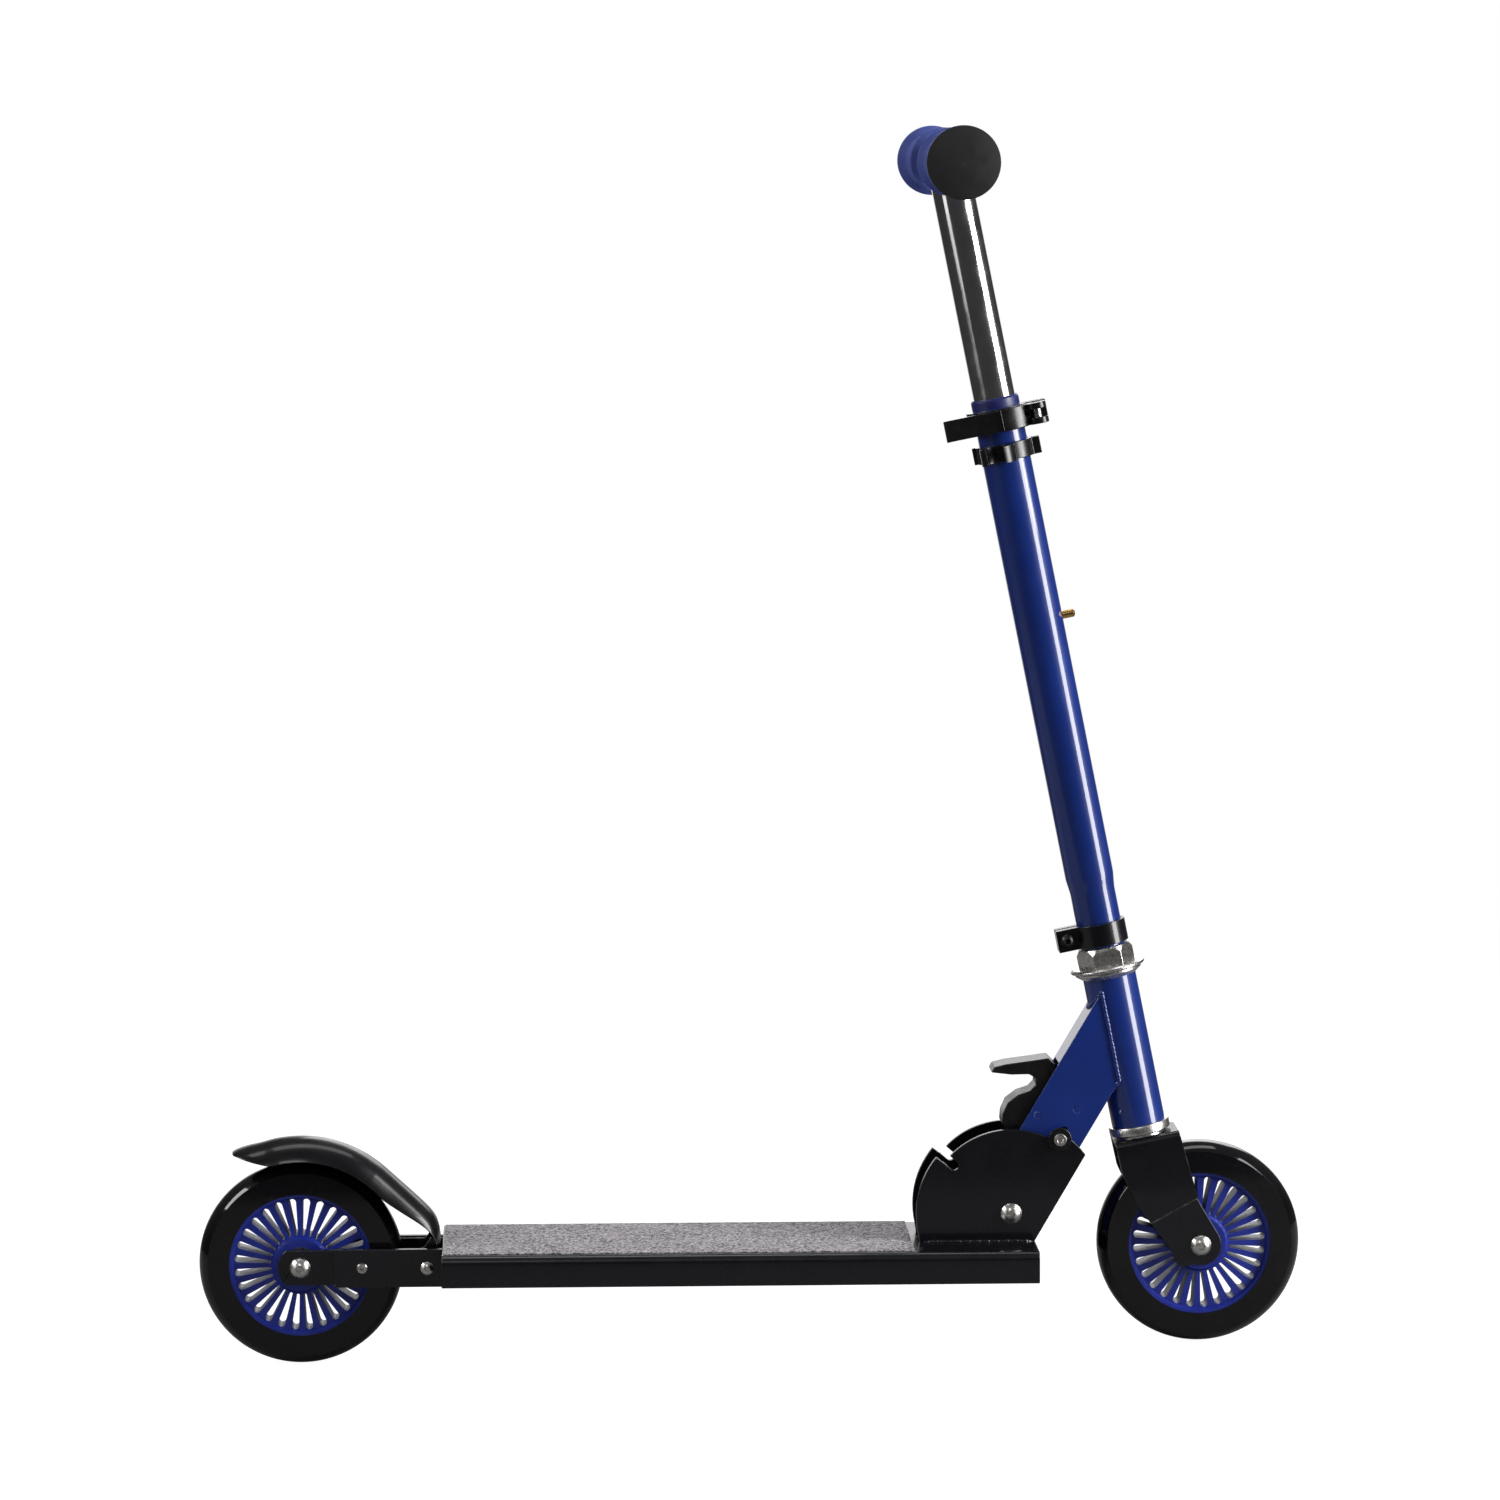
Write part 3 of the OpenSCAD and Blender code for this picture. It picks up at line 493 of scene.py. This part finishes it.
def foam_grip():
    """Soft matte blue foam rubber: fine closed pores, coloured darker as painted shade in their
    hollows, and slightly faded high spots.
    """
    s = Surface("foam_rubber")
    s.set(sheen_weight=0.25, sheen_roughness=0.6, sheen_tint=srgb(150, 158, 230))
    body = s.blend(s.ramp(s.noise(12 * mm, 4.0), 0, 1), srgb(46, 62, 134), srgb(58, 75, 148))
    pores = s.ramp(s.cells(0.55 * mm), 0, 1, 0.05, 0.45)
    # painted shade: the pore hollows are coloured darker than the foam around them
    colour = s.blend(pores, srgb(38, 52, 120), body)
    roughness = s.ramp(s.noise(6 * mm, 5.0), 0.66, 0.86)
    return s.use(colour, roughness, s.bump(pores, 0.06 * mm, 0.6))


def brass():
    """Turned brass, slightly tarnished."""
    s = Surface("brass")
    s.set(metallic=1.0)
    colour = s.blend(s.ramp(s.noise(2 * mm), 0, 1), srgb(196, 150, 84), srgb(222, 182, 112))
    roughness = s.ramp(s.noise(1.2 * mm, 4.0), 0.18, 0.36)
    return s.use(colour, roughness, s.bump(s.noise(0.3 * mm, 2.0), 0.02 * mm, 0.3))


FINISHES = {
    "black_paint": black_paint(),
    "blue_paint": blue_paint(),
    "chrome": chrome(),
    "zinc_steel": zinc_steel(),
    "spring_steel": spring_steel(),
    "black_steel": black_steel(),
    "grip_tape": grip_tape(),
    "tyre": tyre_rubber(),
    "grip_foam": foam_grip(),
    "brass": brass(),
    "nylon": moulded(
        "white_nylon", srgb(196, 194, 188), srgb(214, 212, 206), 0.35, 0.5, 0.6 * mm, 0.02 * mm
    ),
    "core_plastic": moulded(
        "blue_core_plastic", srgb(26, 38, 126), srgb(34, 48, 142), 0.28, 0.42, 0.8 * mm, 0.02 * mm
    ),
    "black_plastic": moulded(
        "black_moulded_plastic", srgb(11, 10, 12), srgb(17, 16, 18), 0.20, 0.32, 0.5 * mm, 0.03 * mm
    ),
    "navy_plastic": moulded(
        "navy_bush_plastic", srgb(24, 30, 84), srgb(30, 38, 100), 0.32, 0.46, 0.6 * mm, 0.02 * mm
    ),
}
FINISHES["deck_coat"] = FINISHES["black_paint"]  # the deck's own slot, with the same coat


# ---------------------------------------------------------------- the CAD nodes' finish

SHARPEST_SMOOTH_ANGLE = radians(32)
FLAT_ENOUGH = radians(0.5)


def cleaner():
    """Geometry nodes that merge a CAD mesh's split points, so that its edges can be rounded."""
    group = bpy.data.node_groups.new("merge_split_points", "GeometryNodeTree")
    group.interface.new_socket("Geometry", in_out="INPUT", socket_type="NodeSocketGeometry")
    group.interface.new_socket("Geometry", in_out="OUTPUT", socket_type="NodeSocketGeometry")
    entry = group.nodes.new("NodeGroupInput")
    merge = group.nodes.new("GeometryNodeMergeByDistance")
    merge.inputs["Distance"].default_value = 0.002 * mm
    forget = group.nodes.new("GeometryNodeRemoveAttribute")
    forget.inputs["Name"].default_value = "custom_normal"
    smooth = group.nodes.new("GeometryNodeSetShadeSmooth")
    unmark = group.nodes.new("GeometryNodeSetShadeSmooth")
    unmark.domain = "EDGE"
    leave = group.nodes.new("NodeGroupOutput")
    for before, after in zip(
        (entry, merge, forget, smooth, unmark), (merge, forget, smooth, unmark, leave)
    ):
        group.links.new(before.outputs[0], after.inputs[0])
    return group


CLEANER = cleaner()


def soften(node, width):
    """Rounds a CAD node's edges by a small width, as moulding, bending and paint do."""
    clean = node.modifiers.new("merge", "NODES")
    clean.node_group = CLEANER
    flat = node.modifiers.new("flatten", "DECIMATE")
    flat.decimate_type = "DISSOLVE"
    flat.angle_limit = FLAT_ENOUGH
    bevel = node.modifiers.new("round", "BEVEL")
    bevel.width = width
    bevel.segments = 2
    bevel.limit_method = "ANGLE"
    bevel.angle_limit = SHARPEST_SMOOTH_ANGLE
    bevel.use_clamp_overlap = False
    bevel.harden_normals = True


EDGE_WIDTHS = {
    "deck": 0.5,
    "grip_tape": 0.2,
    "bracket_plate_left": 0.45,
    "bracket_plate_right": 0.45,
    "tail_plates": 0.4,
    "axle_plates": 0.45,
    "fork": 0.5,
    "neck_tube": 0.5,
    "head_tube": 0.25,
    "lower_cup": 0.2,
    "upper_cup": 0.2,
    "top_race": 0.3,
    "locknut": 0.3,
    "column_tube": 0.2,
    "lower_clamp": 0.35,
    "top_clamp": 0.35,
    "handle_clip": 0.4,
    "release_lever": 0.7,
    "clamp_lever": 0.4,
    "lock_pin": 0.25,
    "lock_washers": 0.5,
}

SATIN_NODES = (
    "locknut",
    "top_race",
    "upper_cup",
    "lower_cup",
    "crown_race",
    "lock_pin",
    "pivot_bolt",
    "front_axle",
    "rear_axle",
    "tail_rivets",
    "fender_bolt",
)
satin = satin_chrome()
MATT_NODES = ("end_cap_left", "end_cap_right")
matt = moulded("matt_cap", srgb(13, 12, 16), srgb(19, 18, 22), 0.5, 0.66, 0.6 * mm, 0.04 * mm)

for name, node in frame["nodes"].items():
    finish = FINISHES[node.data.materials[0].name.split(".")[0]]
    if name in SATIN_NODES:
        finish = satin
    elif name in MATT_NODES:
        finish = matt
    node.material_slots[0].link = "OBJECT"
    node.material_slots[0].material = finish
    if name in EDGE_WIDTHS:
        soften(node, EDGE_WIDTHS[name] * mm)


# ---------------------------------------------------------------- places and meshes

HEAD_ANGLE = radians(10.5)
STEERING_PLACE = Vector((236.6, 0, 100))
DECK_TILT = radians(0.96)
REAR_AXLE = Vector((-265, 0, 60))
SIDES = (("left", 1), ("right", -1))


def steer_at(u, y, s):
    """A point, in metres, from millimetres forward, left and up the steering axis."""
    forward = Vector((cos(HEAD_ANGLE), 0, sin(HEAD_ANGLE)))
    upward = Vector((-sin(HEAD_ANGLE), 0, cos(HEAD_ANGLE)))
    return (STEERING_PLACE + u * forward + Vector((0, y, 0)) + s * upward) * mm


def deck_at(a, y, h):
    """A point, in metres, from millimetres forward of, left of and above the rear axle."""
    forward = Vector((cos(DECK_TILT), 0, -sin(DECK_TILT)))
    upward = Vector((sin(DECK_TILT), 0, cos(DECK_TILT)))
    return (REAR_AXLE + a * forward + Vector((0, y, 0)) + h * upward) * mm


def finish_piece(mesh, name, body, material):
    """Turns a bmesh into a piece that rides on a body and fills a material slot."""
    bmesh.ops.recalc_face_normals(mesh, faces=mesh.faces)
    data = bpy.data.meshes.new(name)
    mesh.to_mesh(data)
    mesh.free()
    data.shade_smooth()
    data.materials.append(material)
    piece = bpy.data.objects.new(name, data)
    scene.collection.objects.link(piece)
    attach(piece, body)
    return piece


def skin(mesh, rings, closed=False):
    """Joins rings of points into a tube, with its ends capped unless it closes on itself."""
    pairs = list(zip(rings, rings[1:]))
    if closed:
        pairs.append((rings[-1], rings[0]))
    else:
        mesh.faces.new(rings[0][::-1])
        mesh.faces.new(rings[-1])
    for first, second in pairs:
        for j in range(len(first)):
            n = (j + 1) % len(first)
            mesh.faces.new((first[j], first[n], second[n], second[j]))


# ---------------------------------------------------------------- weld beads

HEAD_TUBE_R = 15.75
STEM_R = 12.25
CROSSBAR_R = 12.7
BAR_HEIGHT = 608.5
NECK_HALF = 14.0
NECK_ANGLE_SIN = 0.7431
NECK_ANGLE_COS = 0.66913
NECK_LINE = 61.60
NECK_FRONT = 20.5
NECK_BACK = -15.7
NECK_STEPS = 24
SADDLE_STEPS = 48
FOOT_SPAN = (366.5, 430.5)
FOOT_Y = 18.6
FOOT_HEIGHT = 12.0
RIPPLE = 2.8
BEAD_SIDES = 12
STEPS_PER_RIPPLE = 8


def along(points, spacing):
    """The same path with evenly spaced points."""
    lengths = [(b - a).length for a, b in zip(points, points[1:])]
    total = sum(lengths)
    count = max(8, round(total / spacing))
    even, leg, start = [], 0, 0.0
    for k in range(count + 1):
        target = total * k / count
        while leg < len(lengths) - 1 and start + lengths[leg] < target:
            start += lengths[leg]
            leg += 1
        share = (target - start) / lengths[leg]
        even.append(points[leg].lerp(points[leg + 1], min(1.0, share)))
    return even


def bead(name, body, slot, points, radius, closed=False):
    """A weld bead along a path: a low round ridge with the overlapping scales of a hand weld."""
    path = along(points, RIPPLE * mm / STEPS_PER_RIPPLE)
    if closed:
        path = path[:-1]
    count = len(path)
    mesh = bmesh.new()
    rings = []
    side = None
    for k, point in enumerate(path):
        if closed:
            heading = path[(k + 1) % count] - path[k - 1]
        else:
            heading = path[min(k + 1, count - 1)] - path[max(k - 1, 0)]
        heading.normalize()
        side = heading.orthogonal() if side is None else side - heading * side.dot(heading)
        side.normalize()
        over = heading.cross(side)
        scale = (k % STEPS_PER_RIPPLE) / STEPS_PER_RIPPLE
        wander = 1 + 0.06 * sin(0.37 * k) + 0.04 * sin(0.13 * k + 1.0)
        end = 1.0 if closed else min(1.0, 0.15 + min(k, count - 1 - k) / (1.5 * STEPS_PER_RIPPLE))
        reach = radius * wander * end * (0.6 + 0.5 * sqrt(1 - scale * scale))
        rings.append(
            [
                mesh.verts.new(
                    point
                    + side * (reach * cos(2 * pi * j / BEAD_SIDES))
                    + over * (reach * sin(2 * pi * j / BEAD_SIDES))
                )
                for j in range(BEAD_SIDES)
            ]
        )
    skin(mesh, rings, closed)
    finish_piece(mesh, name, body, FINISHES[slot])


def neck_seam():
    """Where the boxed neck meets the head tube: up one side, over, down the other and back."""

    def height(u, back):
        """Steering-axis height at which the neck's front or back face meets the head tube."""
        return (NECK_LINE + back + NECK_ANGLE_SIN * u) / NECK_ANGLE_COS

    def over(back, ys):
        """The seam of one face, across the tube at the given sideways places."""
        points = []
        for y in ys:
            u = -sqrt(HEAD_TUBE_R**2 - y * y)
            points.append(steer_at(u, y, height(u, back)))
        return points

    ys = [-NECK_HALF + 2 * NECK_HALF * k / NECK_STEPS for k in range(NECK_STEPS + 1)]
    top, bottom = over(NECK_FRONT, ys), over(NECK_BACK, ys[::-1])
    return top + bottom + [top[0]]


def saddle():
    """Where the round stem meets the underside of the crossbar."""
    points = []
    for k in range(SADDLE_STEPS + 1):
        turn = 2 * pi * k / SADDLE_STEPS
        u, y = STEM_R * cos(turn), STEM_R * sin(turn)
        points.append(steer_at(u, y, BAR_HEIGHT - sqrt(CROSSBAR_R**2 - u * u)))
    return points


bead("weld_bar", "t_bar", "chrome", saddle(), 1.1 * mm, closed=True)
bead("weld_neck", "neck", "blue_paint", neck_seam(), 1.25 * mm, closed=True)
for side_name, y in SIDES:
    foot = [deck_at(a, y * FOOT_Y, FOOT_HEIGHT) for a in FOOT_SPAN]
    bead("weld_foot_" + side_name, "deck_frame", "black_paint", foot, 1.5 * mm)


# ---------------------------------------------------------------- springs

LOCK_ANGLE = radians(56.2)
FOLD_PIVOT = Vector((153.2, 0, 81.8))
COIL_R = 3.4
COIL_WIRE = 0.5
COIL_FROM = 55.7
COIL_TO = 69.3
COIL_TURNS = 6.5
COIL_STEPS = 36
LEAF_S = 336
LEAF_HALF = 3.0
LEAF_THICK = 0.6
LEAF_BEND_R = 1.1
LEAF_BEND_DROP = 21.2
STUB_SIDES = 24
STUB_END = 12.6


def lock_at(r, angle, reach):
    """A point round the lock pin's line, reach millimetres from the fold pivot."""
    out = Vector((cos(LOCK_ANGLE), 0, sin(LOCK_ANGLE)))
    across = Vector((-sin(LOCK_ANGLE), 0, cos(LOCK_ANGLE)))
    round_it = across * (r * cos(angle)) + Vector((0, r * sin(angle), 0))
    return (FOLD_PIVOT + out * reach + round_it) * mm


def lock_coil():
    """A compression spring whose end turns are closed up."""
    mesh = bmesh.new()
    rings = []
    count = round(COIL_TURNS * COIL_STEPS)
    for k in range(count + 1):
        share = k / count
        level = share - 0.045 * sin(2 * pi * share)
        reach = COIL_FROM + (COIL_TO - COIL_FROM) * level
        angle = 2 * pi * COIL_TURNS * share
        rings.append(
            [
                mesh.verts.new(
                    lock_at(
                        COIL_R + COIL_WIRE * cos(2 * pi * j / BEAD_SIDES),
                        angle,
                        reach + COIL_WIRE * sin(2 * pi * j / BEAD_SIDES),
                    )
                )
                for j in range(BEAD_SIDES)
            ]
        )
    skin(mesh, rings)
    return mesh


def leaf_spring():
    """The bent leaf inside the stem that pushes the snap button out, with its round stub."""
    bend = [
        (LEAF_BEND_R * sin(radians(a)), -LEAF_BEND_DROP - LEAF_BEND_R * cos(radians(a)))
        for a in range(60, -61, -20)
    ]
    line = [(9.5, 4.8), (9.5, -3.5)] + bend + [(-9.4, 4.8)]
    mesh = bmesh.new()
    strips = []
    for k, (u, rise) in enumerate(line):
        before, after = line[max(k - 1, 0)], line[min(k + 1, len(line) - 1)]
        run, climb = after[0] - before[0], after[1] - before[1]
        length = hypot(run, climb)
        shift = (LEAF_THICK / 2 * -climb / length, LEAF_THICK / 2 * run / length)
        strips.append(
            [
                mesh.verts.new(steer_at(u + way * shift[0], y, LEAF_S + rise + way * shift[1]))
                for way, y in ((1, -LEAF_HALF), (1, LEAF_HALF), (-1, LEAF_HALF), (-1, -LEAF_HALF))
            ]
        )
    skin(mesh, strips)
    stub = []
    for u, r in ((9.6, 1.6), (12.3, 1.6), (STUB_END, 1.3)):
        turns = [2 * pi * j / STUB_SIDES for j in range(STUB_SIDES)]
        stub.append(
            [mesh.verts.new(steer_at(u, r * cos(turn), LEAF_S + r * sin(turn))) for turn in turns]
        )
    skin(mesh, stub)
    return mesh


wire_steel = FINISHES["spring_steel"]
coil = finish_piece(lock_coil(), "lock_coil", "neck", wire_steel)
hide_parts("lock_spring")
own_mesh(coil)
leaf = finish_piece(leaf_spring(), "snap_leaf", "snap_button", wire_steel)
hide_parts("snap_spring")
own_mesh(leaf)


# ---------------------------------------------------------------- brake fender

FENDER_T = 2.3
RIDGE_R = 75.0
EDGE_R = 62.5
FENDER_HALF = 18.4
SECTION_TURN = radians(68)
FENDER_ROWS = 6
FENDER_COLUMNS = 16
BOLT_A = 74.4
EAR_IN = 12.5
EAR_OUT = 14.8
EAR_HOLE_R = 5.1
EAR_ROUND_R = 6.5
FENDER_ROUNDING = 0.5


def wrap(angle):
    """A station of the fender where it is concentric with the wheel."""
    c, s = cos(radians(angle)), sin(radians(angle))
    return (RIDGE_R * c, RIDGE_R * s, EDGE_R * c, EDGE_R * s, FENDER_HALF)


# ridge forward, ridge up, edge forward, edge up, half-width
FENDER_STATIONS = (
    [
        (-40.0, 65.8, -39.2, 64.9, 8.5),
        (-37.0, 67.5, -34.2, 63.6, 13.2),
        (-31.0, 69.5, -26.5, 61.8, 16.8),
        (-23.2, 71.3, -17.6, 60.3, 18.2),
    ]
    + [wrap(angle) for angle in (100, 90, 80, 70, 60, 52, 47.5)]
    + [
        (58.0, 48.6, 49.6, 39.4, 18.4),
        (66.5, 40.8, 59.6, 32.4, 18.1),
        (74.2, 33.4, 68.6, 26.4, 17.2),
        (78.8, 27.8, 74.4, 21.8, 16.0),
        (81.2, 21.4, 77.6, 17.6, 15.1),
        (82.2, 14.6, 79.3, 13.4, 14.8),
        (82.3, 9.5, 79.6, 9.5, 14.8),
    ]
)


def smooth_rows(stations, rows):
    """The stations with rows more between each two, on a Catmull-Rom curve."""
    out = []
    last = len(stations) - 1
    for k in range(last):
        around = [stations[min(max(k + step, 0), last)] for step in (-1, 0, 1, 2)]
        for row in range(rows):
            t = row / rows
            out.append(
                tuple(
                    0.5
                    * (
                        2 * b
                        + (c - a) * t
                        + (2 * a - 5 * b + 4 * c - d) * t * t
                        + (3 * b - a - 3 * c + d) * t**3
                    )
                    for a, b, c, d in zip(*around)
                )
            )
    return out + [stations[last]]


def fender_shell():
    """A pressed shell, arched over the wheel and narrowing to a flat tongue at the deck."""
    mesh = bmesh.new()
    outer, inner = [], []
    deepest = 1 - cos(SECTION_TURN)
    for ridge_a, ridge_h, edge_a, edge_h, half in smooth_rows(FENDER_STATIONS, FENDER_ROWS):
        down = Vector((edge_a - ridge_a, edge_h - ridge_h))
        rows = ([], [])
        for j in range(-FENDER_COLUMNS, FENDER_COLUMNS + 1):
            turn = SECTION_TURN * j / FENDER_COLUMNS
            depth = (1 - cos(turn)) / deepest
            y = half * sin(turn) / sin(SECTION_TURN)
            place = Vector((ridge_a, ridge_h)) + down * depth
            inward = down.normalized() * (FENDER_T * cos(turn))
            inner_y = y - FENDER_T * sin(turn)
            rows[0].append(mesh.verts.new(deck_at(place.x, y, place.y)))
            rows[1].append(mesh.verts.new(deck_at(place.x + inward.x, inner_y, place.y + inward.y)))
        outer.append(rows[0])
        inner.append(rows[1])
    for sheet in (outer, inner):
        for first, second in zip(sheet, sheet[1:]):
            for j in range(2 * FENDER_COLUMNS):
                mesh.faces.new((first[j], first[j + 1], second[j + 1], second[j]))
    rims = [
        (outer[0], inner[0]),
        (outer[-1], inner[-1]),
        ([row[0] for row in outer], [row[0] for row in inner]),
        ([row[-1] for row in outer], [row[-1] for row in inner]),
    ]
    for above, below in rims:
        for j in range(len(above) - 1):
            mesh.faces.new((above[j], above[j + 1], below[j + 1], below[j]))
    return mesh


def fender_ear(side):
    """One of the two lugs under the tongue that carry the fender on its bolt."""
    outline = [(80.6, 0.0), (80.6, 12.0), (79.4, 15.5), (76.5, 16.5), (70.5, 7.5), (67.9, 0.0)]
    outline += [
        (BOLT_A - EAR_ROUND_R * cos(radians(a)), -EAR_ROUND_R * sin(radians(a)))
        for a in range(15, 180, 15)
    ]
    mesh = bmesh.new()
    around = [atan2(h, a - BOLT_A) for a, h in outline]
    walls = []
    for y in (EAR_IN, EAR_OUT):
        rim = [mesh.verts.new(deck_at(a, side * y, h)) for a, h in outline]
        eye = [
            mesh.verts.new(deck_at(BOLT_A + EAR_HOLE_R * cos(t), side * y, EAR_HOLE_R * sin(t)))
            for t in around
        ]
        walls.append((rim, eye))
    count = len(outline)
    for j in range(count):
        n = (j + 1) % count
        for rim, eye in walls:
            mesh.faces.new((rim[j], rim[n], eye[n], eye[j]))
        for k in (0, 1):
            mesh.faces.new((walls[0][k][j], walls[0][k][n], walls[1][k][n], walls[1][k][j]))
    return mesh


gloss = fender_black()
shell = finish_piece(fender_shell(), "fender_shell", "brake_fender", gloss)
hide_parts("fender")
for side_name, side in SIDES:
    name = "fender_ear_" + side_name
    lug = finish_piece(fender_ear(side), name, "brake_fender", gloss)
    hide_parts("fender")
for piece in [o for o in scene.collection.objects if o.name.startswith("fender_")]:
    round_edges = piece.modifiers.new("round", "BEVEL")
    round_edges.width = FENDER_ROUNDING * mm
    round_edges.segments = 3
    round_edges.limit_method = "ANGLE"
    round_edges.angle_limit = SHARPEST_SMOOTH_ANGLE
    round_edges.harden_normals = True
